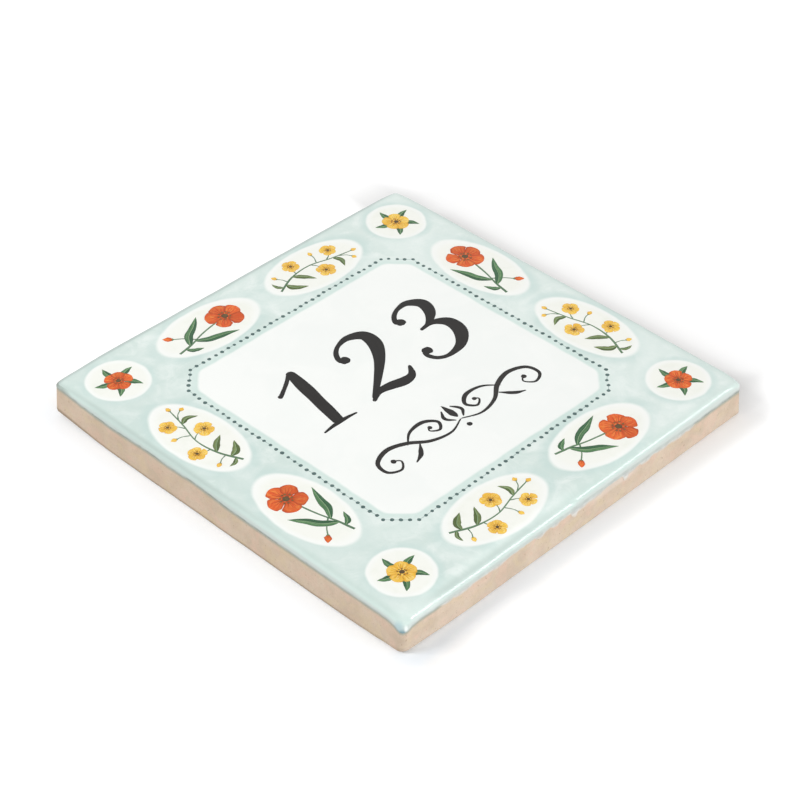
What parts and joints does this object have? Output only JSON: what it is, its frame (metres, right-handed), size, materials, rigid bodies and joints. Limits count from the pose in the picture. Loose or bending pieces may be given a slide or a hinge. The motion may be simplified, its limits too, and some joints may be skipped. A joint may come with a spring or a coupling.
{
  "type": "house number plaque",
  "caption": "Square glazed ceramic house number plaque with a rolled glaze edge, bare clay sides and a keyed back that bonds to a wall.",
  "frame": {"origin": "centre of the back, in the plane that bonds to the wall", "axes": "+X along the number in its reading direction, +Y up the face as it hangs, +Z out of the glazed face"},
  "size_m": [0.1, 0.1, 0.009],
  "materials": {
    "glazed_clay": "clear glossy glaze over pale painted ground, bare buff earthenware on the sides and back"
  },
  "bodies": {
    "root": {"plaque": "glazed_clay"}
  },
  "joints": []
}
